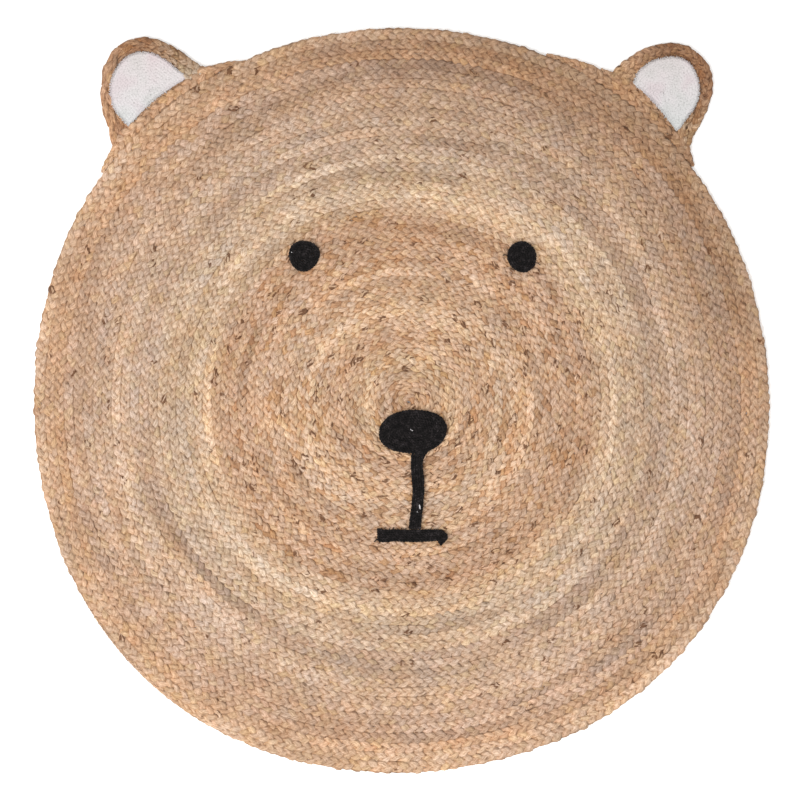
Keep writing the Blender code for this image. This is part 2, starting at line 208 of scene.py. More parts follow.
def braid(route, seed, v_pitch=V_PITCH):
    """Three strands plaited flat along a route.

    A strand's turn, t, makes a circle every three Vs. Its middle is sin(t) of the way to the row's edge and
    sin(2t) above the middle plane: it crosses the top on its way out to either edge, and comes back below.
    """
    along = distance_along(route.middle)
    shortening = np.clip(np.linalg.norm(route.edge, axis=1) / SLIM_ROW_HALF, SHORTEST_V, 1.0)
    vs = np.cumsum(np.gradient(along) / (v_pitch * shortening))
    turn_along = 2 * math.pi * vs / 3 + wander(along, TURN_STRAY, seed)
    strands = []
    for k in range(3):
        lag = 2 * math.pi * k / 3
        halves = np.arange(int((turn_along[-1] + lag) / math.pi) + 1)
        turn = (halves[:, None] * math.pi + LOBE_SECTIONS).ravel()
        turn = turn[(turn - lag > turn_along[0]) & (turn - lag < turn_along[-1])]
        place = np.interp(turn - lag, turn_along, along)
        line = read_line(place, along, route.middle)
        edge = read_line(place, along, route.edge)
        half = np.linalg.norm(edge, axis=1)
        fullness = np.clip(half / FULL_ROW_HALF, *FULLNESS) ** FULLNESS_POWER

        # Each lobe, from one dive under the braid to the next, has a size, place and shade of its own
        rng = np.random.default_rng(seed + 10 + k)
        lobe = np.floor((turn + math.pi / 4) / math.pi).astype(int)
        aside, up, wider, thicker, tone, hue = rng.normal(size=(lobe.max() + 1, 6)).clip(-2, 2)[lobe].T
        chance = rng.random(lobe.max() + 1)[lobe]
        on_top = np.cos(turn - math.pi / 4) ** 2
        sway = SWAY * np.sin(turn) + LOBE_SWAY * aside * on_top + wander(place, SWAY_STRAY, seed + 20)
        lift = STRAND_RISE * np.sin(2 * turn) * fullness
        lift += LOBE_LIFT * up * on_top + wander(place, LIFT_STRAY, seed + 30)
        width = TURN_WIDTH + (LOBE_WIDTH - TURN_WIDTH) * np.abs(np.sin(2 * turn)) ** LOBE_BLUNTNESS
        width *= 1 + LOBE_WIDENING * wider * on_top
        high = STRAND_HALF_HIGH * fullness * (1 + LOBE_THICKENING * thicker)
        level = line[:, 2] * np.maximum(fullness, LOWEST_MIDDLE)
        middle = at_height(line[:, :2] + sway[:, None] * edge, np.maximum(level + lift, high + FLOOR_GAP))
        own = {"tone": tone, "hue": hue, "chance": chance, "place": place}
        own["top"] = level + (STRAND_RISE + STRAND_HALF_HIGH) * fullness
        strand = tube(middle, width * half, high, STRAND_SIDES, **own)
        from_line = strand.points[..., :2] - line[:, None, :2]
        strand.values["across"] = np.abs((from_line * (edge / half[:, None] ** 2)[:, None]).sum(2))
        strands.append(strand)
    return strands


def tube_faces(count, sides, start):
    """A tube's faces, its points numbered from start on: quads between its sections, and two flat ends."""
    k, j = np.arange(count - 1)[:, None] * sides, np.arange(sides)
    beside = (j + 1) % sides
    quads = np.stack((k + j, k + beside, k + sides + beside, k + sides + j), -1).reshape(-1, 4) + start
    return [*quads.tolist(), (start + j[::-1]).tolist(), (start + (count - 1) * sides + j).tolist()]


def grid_corners(along, round_):
    """Values at the four corners of each face of a tube, in the order in which its faces name them."""
    here, after = along[:-1, None], along[1:, None]
    left, right = round_[None, :-1], round_[None, 1:]
    pairs = ((here, left), (here, right), (after, right), (after, left))
    return np.stack([np.stack(np.broadcast_arrays(*pair), -1) for pair in pairs], 2).reshape(-1, 2)


CAPS_FROM = 0.985  # the strip of the bake's map above this holds the tubes' ends
ROW_MARGIN = 0.04  # kept bare along both sides of each of that map's rows
CAP_PLACES = (0.25, 0.75)  # of a tube's two ends, in its own length of the strip, and their ovals' radii
CAP_WIDE = 0.2
CAP_HIGH = 0.4


def bake_rings(cell, columns, rows, round_share):
    """Where a tube's rings of faces lie on the bake's map: each fills a cell, in rows one above the other."""
    row, column = cell // columns, cell % columns
    left, right = column / columns, (column + 1) / columns
    low = CAPS_FROM * (row[:, None] + ROW_MARGIN + (1 - 2 * ROW_MARGIN) * round_share) / rows
    across = np.stack((left, left, right, right), -1)[:, None, :] + 0 * low[:, :-1, None]
    up = np.stack((low[:, :-1], low[:, 1:], low[:, 1:], low[:, :-1]), -1)
    return np.stack((across, up), -1).reshape(-1, 2)


def bake_caps(number, count, sides):
    """Where the ends of one tube of so many lie on the bake's map: two ovals, (cos, sin), in the strip."""
    turn = 2 * math.pi * np.arange(sides) / sides
    up = (1 + CAPS_FROM) / 2 + CAP_HIGH * (1 - CAPS_FROM) * np.sin(turn)
    return [np.column_stack(((number + end + CAP_WIDE * np.cos(turn)) / count, up)) for end in CAP_PLACES]


def at_points(value, shape):
    """A tube's value at each of its points, given as one for the tube, for each section or for each point."""
    value = np.asarray(value, float)
    return np.broadcast_to(value if value.ndim == 2 else value.reshape(-1, 1), shape).ravel()


GRAIN_STEP = 3  # a tube's grain starts this many girths past the one before, so that no two are alike


def tubes_mesh(name, tubes):
    """One mesh of closed tubes: faces between neighbouring sections, and a flat end on each tube.

    Two maps go with it. "grain" has metres along and round each tube. "OFBake" lays all tubes end to end in
    one square, cut into rows of equal length.
    """
    points, faces, grain, laid = [], [], [], []
    values = {key: [] for key in tubes[0].values}
    sides = tubes[0].points.shape[1]
    round_share = np.arange(sides + 1) / sides
    rings = sum(len(t.points) - 1 for t in tubes)
    columns = min(math.ceil(math.sqrt(rings * sides)), rings)
    rows = math.ceil(rings / columns)
    start, taken = 0, 0
    for number, t in enumerate(tubes):
        count = len(t.points)
        points.append(t.points.reshape(-1, 3))
        faces += tube_faces(count, sides, start)
        grain.append(grid_corners(t.along, (round_share + GRAIN_STEP * number) * t.round))
        grain.append(np.tile((t.along[0], GRAIN_STEP * number * t.round), (2 * sides, 1)))
        laid.append(bake_rings(taken + np.arange(count - 1), columns, rows, round_share))
        laid += bake_caps(number, len(tubes), sides)
        for key, value in t.values.items():
            values[key].append(at_points(value, (count, sides)))
        start += count * sides
        taken += count - 1
    mesh = bpy.data.meshes.new(name)
    mesh.from_pydata(np.concatenate(points), [], faces)
    for map_name, corners in (("grain", grain), ("OFBake", laid)):
        mesh.uv_layers.new(name=map_name).data.foreach_set("uv", np.concatenate(corners).ravel())
    for key, parts in values.items():
        mesh.attributes.new(key, "FLOAT", "POINT").data.foreach_set("value", np.concatenate(parts))
    mesh.shade_smooth()
    return mesh


def add_piece(name, tubes, material, slot, *nodes):
    """An object of these tubes that rides on the rug, wears the material and stands for these solids."""
    piece = bpy.data.objects.new(name, tubes_mesh(name, tubes))
    bpy.context.scene.collection.objects.link(piece)
    piece.data.materials.append(material)
    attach(piece, "root")
    if nodes:
        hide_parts(*nodes)
    return piece


def linear(code):
    """An sRGB hex colour as linear light, with alpha 1."""
    parts = np.array([int(code[k : k + 2], 16) for k in (1, 3, 5)]) / 255
    return (*np.where(parts <= 0.04045, parts / 12.92, ((parts + 0.055) / 1.055) ** 2.4), 1.0)


def add_node(tree, kind, links=None, **settings):
    """A shader node with its settings, and its inputs by name or number: linked to an output, or a value."""
    node = tree.nodes.new("ShaderNode" + kind)
    for key, value in settings.items():
        setattr(node, key, value)
    for key, value in (links or {}).items():
        if isinstance(value, bpy.types.NodeSocket):
            tree.links.new(value, node.inputs[key])
        else:
            node.inputs[key].default_value = value
    return node


def set_ramp(node, stops):
    """A colour ramp through (place, hex colour) stops."""
    elements = node.color_ramp.elements
    while len(elements) > 1:
        elements.remove(elements[-1])
    elements[0].position = stops[0][0]
    elements[0].color = linear(stops[0][1])
    for place, code in stops[1:]:
        elements.new(place).color = linear(code)
    return node.outputs["Color"]


def mottle(tree, vector, sizes, detail=2.0, roughness=0.5):
    """Noise about 0.5, in cells of these sizes along the vector's three directions."""
    sized = add_node(tree, "VectorMath", {0: vector, 1: [1 / size for size in sizes]}, operation="MULTIPLY")
    links = {"Vector": sized.outputs[0], "Scale": 1.0, "Detail": detail, "Roughness": roughness}
    return add_node(tree, "TexNoise", links).outputs["Fac"]


# A colour to multiply by, up to a share of "most", as what it follows goes from none_at to full_at
Tint = namedtuple("Tint", "code source none_at full_at most", defaults=(1.0,))


def tinted(tree, colour, *tints):
    """A colour multiplied by each tint in turn, as far as the tint's source says."""
    for tint in tints:
        ends = {1: tint.none_at, 2: tint.full_at, 3: 0.0, 4: tint.most}
        share = add_node(tree, "MapRange", {"Value": tint.source, **ends}).outputs[0]
        links = {0: share, 6: colour, 7: linear(tint.code)}
        colour = add_node(tree, "Mix", links, data_type="RGBA", blend_type="MULTIPLY").outputs[2]
    return colour


def new_material(name, roughness, sheen=0.0, specular=0.25):
    """A Principled material of plain fibre, with its node tree."""
    material = bpy.data.materials.new(name)
    material.use_nodes = True
    shader = material.node_tree.nodes["Principled BSDF"]
    shader.inputs["Roughness"].default_value = roughness
    shader.inputs["Sheen Weight"].default_value = sheen
    shader.inputs["Sheen Roughness"].default_value = 0.5
    shader.inputs["Specular IOR Level"].default_value = specular
    return material, material.node_tree


def finish_fibre(material, colour, height, strength, distance):
    """Gives a material its colour, and a bump that is the distance high where the height is 1."""
    tree = material.node_tree
    shader = tree.nodes["Principled BSDF"]
    bump = add_node(tree, "Bump", {"Strength": strength, "Distance": distance, "Height": height})
    tree.links.new(colour, shader.inputs["Base Color"])
    tree.links.new(bump.outputs["Normal"], shader.inputs["Normal"])


# The jute lots along the coil, by the share of the way out from the middle: a braider joins in new bundles of
# retted stem as the old ones run out, and each bundle has its own shade. These are the palest fibres of each.
# The last rows, past the sharp step, are of a warmer lot.
HEAD_LOTS = (
    (0.00, "#ebcbb1"),
    (0.06, "#edcfb6"),
    (0.11, "#fae0c3"),
    (0.17, "#f4d4ba"),
    (0.25, "#fde2c8"),
    (0.40, "#f4d5bc"),
    (0.49, "#e8c8ae"),
    (0.52, "#f8dec4"),
    (0.57, "#fee9d2"),
    (0.61, "#ebd4be"),
    (0.65, "#f8e3ce"),
    (0.68, "#dfc7b5"),
    (0.74, "#f2dac6"),
    (0.84, "#ebcfb9"),
    (0.905, "#e7cab5"),
    (0.911, "#f0ccad"),
    (0.945, "#efceb2"),
    (0.975, "#fbdfc6"),
    (1.00, "#f2d0b4"),
)
# What multiplies the jute's colour where it is darker, warmer and so on
SHADE = "#c0b4a6"  # brown grows stronger as the light fades
WARM = "#fff5e4"
COOL = "#eaf2ff"
ROSE = "#fff8f4"
STRAW = "#fffdee"
RUST = "#e9dac8"
# The painted shade of the creases, by how far they lie below the row's top
CREASE_SHADE = "#ebcfa8"
# A dark fibre beside a pale one; the same colour paints the shade along the grooves between rows
STREAK_AND_GROOVE_SHADE = "#b4a697"  # a dark fibre beside a pale one
BARK = "#6a4529"  # bark's own colour
BARK_COVER = 0.92
# How long and wide these marks are on a strand, with a 1 for the direction that isn't used
FIBRE = (4.0 * MM, 1.2 * MM, 1)  # single jute fibres are far finer; this is as fine as the picture shows
STAIN = (9 * MM, 5 * MM, 1)
FLECK = (6.0 * MM, 3.5 * MM, 1)
FURTHER_ON = (7.7, 0.0, 0.0)  # a step along the noise, so that the patterns made from it don't coincide
UPPER_RIGHT = (0.6, 0.8, 0.0)  # a direction on the rug


def plaited_jute(name, lots, streak_and_groove_shade=STREAK_AND_GROOVE_SHADE, unevenness=0.42):
    """Jute, retted and loosely spun into strands: matt golden stem fibre with long streaks, cool and rosy
    bundles, and now and then a bit of dark bark left in it. Its creases are darkened with painted shade.

    The palest fibres have the lots' colours, a dark one is that times the streak colour, which also paints
    the shade along the grooves between rows; "unevenness" is the most that one lobe is darker than another.
    """
    material, tree = new_material(name, 0.85, sheen=0.15)
    place = add_node(tree, "TexCoord").outputs["Object"]
    grain = add_node(tree, "UVMap", uv_map="grain").outputs["UV"]
    reach, along, hue, tone, chance, across, top = (
        add_node(tree, "Attribute", attribute_name=key).outputs["Fac"]
        for key in ("reach", "place", "hue", "tone", "chance", "across", "top")
    )
    bundle = add_node(tree, "CombineXYZ", {0: along}).outputs[0]
    further = add_node(tree, "VectorMath", {0: bundle, 1: FURTHER_ON}, operation="ADD").outputs[0]

    # The bundle's own shade: along the braid, in patches of a few lobes, and from lobe to lobe
    drift = mottle(tree, bundle, (200 * MM, 1, 1))
    patch = mottle(tree, place, (15 * MM,) * 3, 1.0)
    colour = tinted(
        tree,
        set_ramp(add_node(tree, "ValToRGB", {"Fac": reach}), lots),
        Tint(COOL, drift, 0.50, 0.70, 0.55),
        Tint(WARM, drift, 0.50, 0.30, 0.55),
        Tint(WARM, patch, 0.50, 0.68, 0.45),
        Tint(COOL, patch, 0.50, 0.32, 0.35),
        Tint(SHADE, mottle(tree, further, (260 * MM, 1, 1), 1.0), 0.64, 0.36, 0.52),
        Tint(SHADE, mottle(tree, place, (80 * MM,) * 3), 0.65, 0.35, 0.12),
        Tint(SHADE, mottle(tree, place, (16 * MM,) * 3), 0.68, 0.32, 0.22),
        Tint(ROSE, hue, 0.2, 2.0),
        Tint(STRAW, hue, -0.2, -2.0),
        Tint(SHADE, tone, 2.0, -2.0, unevenness),
    )

    # Painted shade: it is darker towards the upper right, standing in for the light falling off away from the
    # lower left, and browner still in the last rows there
    upper_right = add_node(tree, "VectorMath", {0: place, 1: UPPER_RIGHT}, operation="DOT_PRODUCT")
    upper_right = upper_right.outputs["Value"]
    on_rim = add_node(tree, "MapRange", {"Value": reach, 1: 0.76, 2: 0.97, 3: 0.0, 4: 0.56}).outputs[0]
    colour = tinted(
        tree,
        colour,
        # the painted shade across the whole rug, then the extra browning of the last rows there
        Tint(SHADE, upper_right, -0.1, 0.35, 0.17),
        Tint(SHADE, upper_right, 0.1, 0.32, on_rim),
    )

    # Rusty lobes, which come in runs in the inner lots, brown stains, and lobes with bits of bark in them
    inner = add_node(tree, "MapRange", {"Value": reach, 1: 0.44, 2: 0.54, 3: 0.26, 4: 0.0}).outputs[0]
    runs = mottle(tree, further, (120 * MM, 1, 1), 1.0)
    often = add_node(tree, "MapRange", {"Value": runs, 1: 0.42, 2: 0.60, 3: 0.0, 4: inner}).outputs[0]
    rusty = add_node(tree, "Math", {0: chance, 1: often}, operation="LESS_THAN").outputs[0]
    stain = mottle(tree, grain, STAIN, 1.0)
    colour = tinted(tree, colour, Tint(RUST, rusty, 0.0, 1.0), Tint(streak_and_groove_shade, stain, 0.60, 0.78))
    rare = add_node(tree, "MapRange", {"Value": reach, 1: 0.48, 2: 0.56, 3: 0.935, 4: 0.985}).outputs[0]
    barky = add_node(tree, "Math", {0: chance, 1: rare}, operation="GREATER_THAN").outputs[0]
    most = add_node(tree, "Math", {0: barky, 1: BARK_COVER}, operation="MULTIPLY").outputs[0]
    flecks = mottle(tree, grain, FLECK, 1.0)
    bark = add_node(tree, "MapRange", {"Value": flecks, 1: 0.48, 2: 0.58, 3: 0.0, 4: most}).outputs[0]
    colour = add_node(tree, "Mix", {0: bark, 6: colour, 7: linear(BARK)}, data_type="RGBA").outputs[2]

    # Streaks of fibre; painted shade along the rows' edges, a dark groove line that comes and goes; and
    # painted shade in the creases, by how far they lie below the row's top, painted deeper in the inner lots
    fibres = mottle(tree, grain, FIBRE, 3.0, 0.65)
    # Where the painted groove shade shows along a row, and where it fades
    sewn = mottle(tree, further, (70 * MM, 1, 1), 1.0)
    groove_shade = add_node(tree, "MapRange", {"Value": sewn, 1: 0.42, 2: 0.66, 3: 0.0, 4: 0.7}).outputs[0]
    height = add_node(tree, "SeparateXYZ", {0: place}).outputs["Z"]
    depth = add_node(tree, "Math", {0: top, 1: height}, operation="SUBTRACT").outputs[0]
    crease_shade_most = add_node(tree, "MapRange", {"Value": reach, 1: 0.48, 2: 0.56, 3: 1.0, 4: 0.6}).outputs[0]
    colour = tinted(
        tree,
        colour,
        Tint(streak_and_groove_shade, fibres, 0.65, 0.32),
        Tint(streak_and_groove_shade, across, 0.86, 1.0, groove_shade),
        Tint(CREASE_SHADE, depth, 0.7 * MM, 3.3 * MM, crease_shade_most),
    )
    finish_fibre(material, colour, fibres, 0.7, 0.4 * MM)
    return material


def stretch_of(t, first, last):
    """The part of a tube between two of its sections."""
    cut = slice(first, last + 1)
    return Tube(t.points[cut], t.along[cut], t.round, {key: value[cut] for key, value in t.values.items()})


def with_reach(t, reach):
    """A strand that also carries its place in the colours of its lot."""
    return t._replace(values={**t.values, "reach": reach})


HEAD_BANDS = 5  # the braid is one length; it is split here only to keep each mesh small
FIRST_TURN = 0.55  # the braid starts here, as tight as it can be bent
LAST_TURN = COIL_TURNS - 0.012  # and ends here, where its tail has hardly any width left
STEPS_A_TURN = 240

head_jute = plaited_jute("golden_plaited_jute", HEAD_LOTS)
coil_turns = np.arange(FIRST_TURN, LAST_TURN, 1 / STEPS_A_TURN)
coil = coil_route(coil_turns)
head_strands = []
for t in braid(coil, seed=1):
    turn = np.interp(t.values["place"], distance_along(coil.middle), coil_turns)
    head_strands.append(with_reach(t, (coil_reach(turn) + coil_reach(turn - 1)) / (2 * HEAD_RADIUS)))
for band in range(HEAD_BANDS):
    lengths = []
    for strand in head_strands:
        last_section = len(strand.points) - 1
        first = band * last_section // HEAD_BANDS
        lengths.append(stretch_of(strand, first, (band + 1) * last_section // HEAD_BANDS))
    piece = add_piece(f"head_braid_{band + 1}", lengths, head_jute, "head_jute", "head_coil")

# ---- The ears' braids ----
# A darker lot of the same braid runs round each inner ear, its ends sewn under the head's last row. Down the
# left ear's outer side it is plaited so loosely that its strands run almost lengthwise. One or two shorter
# rows lie along the rim under each inner ear.

# A section of the braid round an ear, by its angle about the ear's centre: its two edges, in millimetres
EarSection = namedtuple("EarSection", "angle outer inner")
# How far the rows along the rim reach past it, in millimetres, by the angle about the head's centre
BaseSection = namedtuple("BaseSection", "angle width")
# How far it is from V to V of the plait, in millimetres, by the angle about the ear's centre
Plait = namedtuple("Plait", "angle pitch")
Ear = namedtuple("Ear", "centre sections base plaits lots")
LEFT_EAR = Ear(
    centre=np.array((-268.8, 334.3)) * MM + RUG_SHIFT,
    sections=(
        EarSection(5, 59.1, 40.9),
        EarSection(22, 61.3, 41.5),
        EarSection(35, 56.2, 37.8),
        EarSection(50, 54.0, 36.9),
        EarSection(70, 54.5, 37.8),
        EarSection(90, 56.2, 40.9),
        EarSection(110, 58.6, 43.5),
        EarSection(130, 58.8, 44.1),
        EarSection(150, 55.9, 43.5),
        EarSection(170, 53.0, 44.0),
        EarSection(190, 54.2, 44.4),
        EarSection(207, 56.5, 44.5),
        EarSection(223, 61.6, 44.3),
        EarSection(237, 73.6, 45.6),
        EarSection(250, 79.6, 46.2),
    ),
    base=(
        BaseSection(114.5, -1.5),
        BaseSection(119.0, 6.5),
        BaseSection(122.0, 11.4),
        BaseSection(128.0, 12.6),
        BaseSection(134.5, 11.6),
        BaseSection(138.8, 6.2),
        BaseSection(144.0, -1.5),
    ),
    plaits=(Plait(40, 8.5), Plait(85, 11.0), Plait(130, 22.0)),
    lots=((0.0, "#fff4e2"), (0.35, "#d8b293"), (0.65, "#e4be9e"), (1.0, "#ecc09f")),
)
RIGHT_EAR = Ear(
    centre=np.array((282.7, 332.2)) * MM + RUG_SHIFT,
    sections=(
        EarSection(-78, 73.1, 45.2),
        EarSection(-66, 67.3, 44.4),
        EarSection(-57, 58.6, 40.9),
        EarSection(-45, 55.1, 38.7),
        EarSection(-28, 52.1, 38.6),
        EarSection(-10, 52.6, 39.5),
        EarSection(10, 54.7, 40.2),
        EarSection(30, 57.0, 41.4),
        EarSection(50, 57.0, 42.7),
        EarSection(70, 55.5, 40.6),
        EarSection(88, 52.7, 37.6),
        EarSection(105, 51.6, 36.1),
        EarSection(127, 51.2, 35.2),
        EarSection(146, 53.8, 35.2),
        EarSection(162, 59.7, 34.1),
        EarSection(180, 62.4, 35.5),
    ),
    base=(
        BaseSection(38.0, -1.5),
        BaseSection(41.2, 7.0),
        BaseSection(44.5, 12.0),
        BaseSection(49.0, 15.8),
        BaseSection(54.0, 18.6),
        BaseSection(59.0, 11.8),
        BaseSection(63.0, 5.8),
        BaseSection(69.0, -1.5),
    ),
    plaits=(Plait(-60, 8.5), Plait(0, 9.5), Plait(90, 8.5)),
    lots=((0.0, "#ffe8cc"), (0.3, "#d6ae8e"), (0.65, "#b38b6b"), (0.82, "#efc6a3"), (1.0, "#ffe4c2")),
)
# The ears' streak colour, which also paints the shade along their grooves between rows
EAR_STREAK_AND_GROOVE_SHADE = "#93806f"
EAR_UNEVENNESS = 0.62
LOT_MARGIN = 30  # degrees before an ear's first section that still have its first lot
TUCK = 9 * MM  # how far an ear's braid runs on under the rows along the rim
TUCK_DROP = 1.9 * MM
TUCK_NARROWING = 0.3
ROW_WIDTH = 9.8 * MM
SPLIT_WIDTH = (2.5 * MM, 5.0 * MM)  # what a strip has past a full row splits off as it grows to this
SPLIT_FROM = 0.3  # and is a row of its own once it has split off this far
ROW_OVERLAP = 0.1 * MM
ROW_STEPS = 40  # a row with fewer steps than this is left out
BASE_LOT = 0.915  # the rows along the rim are of the head's jute, from here in its lots
BASE_FROM = 0.5  # and run where the sections are wider than this, in millimetres
UNDER_PAD = 2.1 * MM  # the rows run on this far inside the ear's inner outline, under the inner ear's edge
OUTER_INSET = 1.3 * MM  # the outer row's edge lies this far inside the outline; its lobes stand out past it
EAR_STEPS = 600
BASE_STEPS = 300
TUCK_STEPS = 40


def smooth_rows(rows, count):
    """A table's columns at evenly spaced steps along a smooth curve through its rows.

    Each stretch is a cubic, and its slope at either end is half the step between the rows on both sides.
    """
    table = np.array(rows, float)
    table = np.vstack((2 * table[0] - table[1], table, 2 * table[-1] - table[-2]))
    place = np.linspace(0, len(rows) - 1, count)
    first = np.minimum(place.astype(int), len(rows) - 2)
    t = (place - first)[:, None]
    a, b, c, d = (table[first + k] for k in range(4))
    bend = 2 * a - 5 * b + 4 * c - d
    twist = 3 * b - a - 3 * c + d
    return (b + 0.5 * t * ((c - a) + t * (bend + t * twist))).T


def about_head(xy):
    """Distance from the head's centre, and angle about it, of points of the plan."""
    step = xy - HEAD_CENTRE - RUG_SHIFT
    return np.linalg.norm(step, axis=1), np.arctan2(step[:, 1], step[:, 0])


def past_rim(xy):
    """How far points of the plan lie outside the head's outline, less than 0 within it."""
    distance, angle = about_head(xy)
    return distance - rim_radius(angle)


def base_reach(ear, xy):
    """How far the rows along the rim reach past it, at the angle of each point of the plan."""
    angle, width = smooth_rows(ear.base, BASE_STEPS)
    where = np.degrees(about_head(xy)[1])
    return np.maximum(np.interp(where, angle, width, left=0.0, right=0.0), 0.0) * MM


def rows_across(first_edge, second_edge, past, pitch):
    """Braids side by side that fill a strip from its first edge on. Each has its route and its own plait.

    Each row takes a full row's width, and what is left of the strip while that is too little for another.
    Where "past" falls below 0 the row dips, and it ends once that is below the tuck.
    """
    across = second_edge - first_edge
    width = np.linalg.norm(across, axis=1)
    spoke = across / width[:, None]
    near = np.zeros(len(width))
    wanted = np.ones(len(width), bool)
    rows = []
    while wanted.any():
        rest = np.maximum(width - near - ROW_WIDTH, 0)
        apart = np.clip((rest - SPLIT_WIDTH[0]) / (SPLIT_WIDTH[1] - SPLIT_WIDTH[0]), 0, 1)
        own = width - near - rest * apart
        middle = first_edge + (near + own / 2)[:, None] * spoke
        depth = np.clip(-past(middle) / TUCK, 0, 1)
        kept = np.flatnonzero(wanted & (depth < 1) & (own > SPLIT_WIDTH[0]))
        for run in np.split(kept, np.flatnonzero(np.diff(kept) > 1) + 1):
            if len(run) > ROW_STEPS:
                half = (own / 2 + ROW_OVERLAP)[run, None] * (1 - TUCK_NARROWING * depth[run, None])
                level = BRAID_MIDDLE - TUCK_DROP * depth[run]
                rows.append((Route(at_height(middle[run], level), half * spoke[run]), pitch[run]))
        near = near + own
        wanted = wanted & (apart > SPLIT_FROM)
    return rows


def ear_rows(ear):
    """The rows of braid round an ear: a full one along its outer edge, and more inside where it is wider."""
    angle, outer, inner = smooth_rows(ear.sections, EAR_STEPS)
    spoke = spokes(np.radians(angle))
    on = np.linspace(0, 2 * TUCK, TUCK_STEPS)[1:, None]
    edges = []
    for radius in (outer * MM - OUTER_INSET, inner * MM - UNDER_PAD):
        line = ear.centre + radius[:, None] * spoke
        before = line[0] - on[::-1] * unit(line[1] - line[0])
        after = line[-1] + on * unit(line[-1] - line[-2])
        edges.append(np.vstack((before, line, after)))
    turned = np.pad(angle, len(on), mode="edge")
    pitch = np.interp(turned, *np.array(ear.plaits).T) * MM
    return rows_across(*edges, lambda xy: past_rim(xy) - base_reach(ear, xy), pitch)


def base_rows(ear):
    """The rows of braid along the rim under an ear."""
    angle, width = smooth_rows(ear.base, BASE_STEPS)
    a = np.radians(angle)
    rim = HEAD_CENTRE + RUG_SHIFT + rim_radius(a)[:, None] * spokes(a)
    outer = rim + (width[:, None] * MM + UNDER_PAD) * spokes(a)
    filled = width > BASE_FROM
    return rows_across(rim[filled], outer[filled], lambda xy: np.ones(len(xy)), V_PITCH + 0 * a[filled])


for side, ear, seed in (("left", LEFT_EAR, 200), ("right", RIGHT_EAR, 300)):
    jute = plaited_jute(f"dark_plaited_jute_{side}", ear.lots, EAR_STREAK_AND_GROOVE_SHADE, EAR_UNEVENNESS)
    first_angle, last_angle = ear.sections[0].angle, ear.sections[-1].angle
    plait, base = [], []
    for k, (route, pitch) in enumerate(ear_rows(ear)):
        for t in braid(route, seed + 100 * k, pitch):
            step = t.points.mean(1)[:, :2] - ear.centre
            angle = np.degrees(np.arctan2(step[:, 1], step[:, 0]))
            share = ((angle - first_angle + LOT_MARGIN) % 360 - LOT_MARGIN) / (last_angle - first_angle)
            plait.append(with_reach(t, np.clip(share, 0, 1)))
    for k, (route, pitch) in enumerate(base_rows(ear)):
        base += [with_reach(t, BASE_LOT) for t in braid(route, seed + 50 + k, pitch)]
    for name, strands, material in (("_ear_plait", plait, jute), ("_ear_base_rows", base, head_jute)):
        piece = add_piece(side + name, strands, material, "ear_jute", side + "_ear_braid")

# ---- The inner ears ----
# Each is a pad of fine white cotton, worked in rows of satin and chain stitch that follow its edge. Its edge
# is sewn to the braid round it and to the rows along the rim.

PAD_TOP = 7.6 * MM
PAD_SIDE = 6.9 * MM  # height of its edge, which the sewing draws down over this distance
PAD_DRAWN = 0.7 * MM
PAD_UNDER = 0.3 * MM
PAD_ROW = 3.0 * MM  # one row of stitches
PAD_RIPPLE = 0.14 * MM
PAD_SHORT = 2.0 * MM  # from its edge to the ear's inner outline; its stitches reach on from there
PAD_RINGS = 60
PAD_ANGLES = 160
PAD_HUB = 0.03  # the middle ring, as a share of the edge
PAD_REACH = 60 * MM  # no pad is wider than this from the ear's centre
PAD_STEPS = 601
PAD_SECTIONS = 400


def pad_edge(ear):
    """The pad's edge, at even angles about the ear's centre: their spokes, and how far out it is on each.

    It is where a ray from the ear's centre meets the ear's braid or the rows along the rim.
    """
    a = math.radians(ear.sections[0].angle) + 2 * math.pi * np.arange(PAD_ANGLES) / PAD_ANGLES
    angle, _, inner = smooth_rows(ear.sections, PAD_SECTIONS)
    round_ = np.append(angle, angle[0] + 360)
    braid_edge = np.interp(np.degrees(a), round_, np.append(inner, inner[0])) * MM
    distance = np.linspace(0, PAD_REACH, PAD_STEPS)
    ray = (ear.centre + distance[:, None, None] * spokes(a)).reshape(-1, 2)
    on_rows = (past_rim(ray) < base_reach(ear, ray)).reshape(PAD_STEPS, -1)
    rows_edge = np.where(on_rows.any(0), distance[on_rows.argmax(0)], PAD_REACH)
    return spokes(a), np.minimum(rows_edge, braid_edge) - PAD_SHORT


def pad_tube(ear):
    """A closed disc whose rings run from the middle of the underside round the edge to the middle of the top.

    The top is drawn down at the edge, by a bell curve of the inset, with a ripple for each row of stitches.
    """
    spoke, edge = pad_edge(ear)
    share = np.concatenate(([PAD_HUB, 1.0], np.linspace(1.0, PAD_HUB, PAD_RINGS)))
    inset = (1 - share)[:, None] * edge
    ripple = PAD_RIPPLE * np.cos(2 * math.pi * inset / PAD_ROW)
    height = PAD_TOP - ripple - (PAD_TOP - PAD_SIDE) * np.exp(-((inset / PAD_DRAWN) ** 2))
    height[:2] = PAD_UNDER
    xy = ear.centre + (share[:, None] * edge)[..., None] * spoke
    points = np.concatenate((xy, height[..., None]), 2)
    along = distance_along(points[:, 0])
    area = np.sum(edge**2) / 2 * (2 * math.pi / PAD_ANGLES)
    return Tube(points, along, 2 * math.pi * edge.mean(), {}), area


EDGE_STITCHES = 420
EDGE_STITCH_RADIUS = 0.28 * MM
EDGE_STITCH_STRAY = 0.2 * MM  # along the edge
EDGE_STITCH_LEAN = 0.5
EDGE_STITCH_REACH = (-2.0, -0.4, 0.6)  # outwards from the edge, in millimetres; the end goes further
EDGE_STITCH_END = (1.0, 2.2)
EDGE_STITCH_HEIGHT = np.array((PAD_TOP - 0.2 * MM, PAD_TOP + 0.15 * MM, PAD_TOP, 7.0 * MM))


